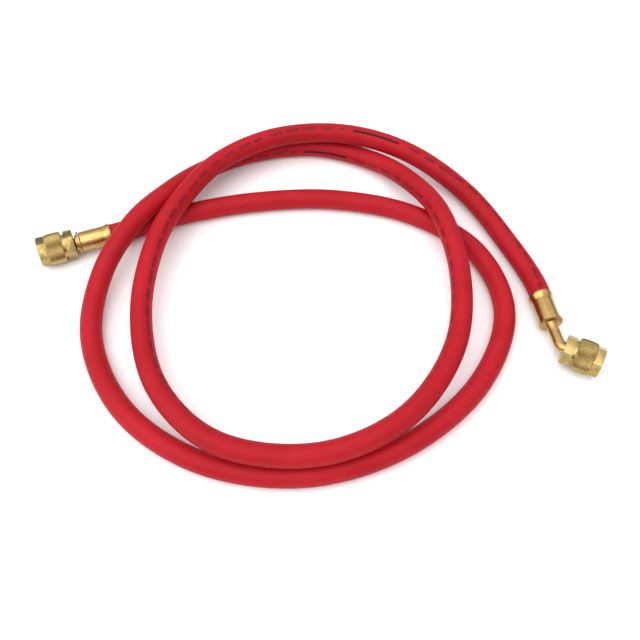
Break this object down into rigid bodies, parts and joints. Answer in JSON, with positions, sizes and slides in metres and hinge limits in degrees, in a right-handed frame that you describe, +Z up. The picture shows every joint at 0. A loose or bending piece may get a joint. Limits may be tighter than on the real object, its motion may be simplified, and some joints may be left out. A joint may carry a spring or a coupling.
{
  "type": "refrigerant charging hose",
  "caption": "Rubber charging hose lying in two loose turns, with crimped brass ferrules, a straight swivel fitting on one end and a bent one on the other.",
  "frame": {"origin": "on the floor under the centre of the bounding box of the hose as it lies", "axes": "+Z up from the floor, +X towards the bent fitting's side, the straight fitting lies at -X, +Y away from the viewer"},
  "size_m": [0.3398, 0.248, 0.028],
  "materials": {
    "red_rubber": "satin smooth extruded rubber with a line of dark printed marks",
    "brass": "bright machined brass, knurled bands, drawn sleeves",
    "gasket_rubber": "matte moulded rubber"
  },
  "bodies": {
    "hose_body": {"hose": "red_rubber", "left_ferrule": "brass", "left_stem": "brass", "left_gasket": "gasket_rubber", "right_ferrule": "brass", "right_elbow": "brass", "right_gasket": "gasket_rubber", "core_depressor": "brass"},
    "left_nut_body": {"left_nut": "brass"},
    "right_nut_body": {"right_nut": "brass"}
  },
  "joints": [
    {"name": "left_nut_swivel", "type": "hinge", "parent": "hose_body", "child": "left_nut_body", "pos_m": [-0.14644, 0.03165, 0.00921], "axis": [-0.9291, -0.366, 0.0523], "continuous": true},
    {"name": "right_nut_swivel", "type": "hinge", "parent": "hose_body", "child": "right_nut_body", "pos_m": [0.14653, -0.04417, 0.00948], "axis": [0.8909, -0.4532, 0.0308], "continuous": true}
  ]
}
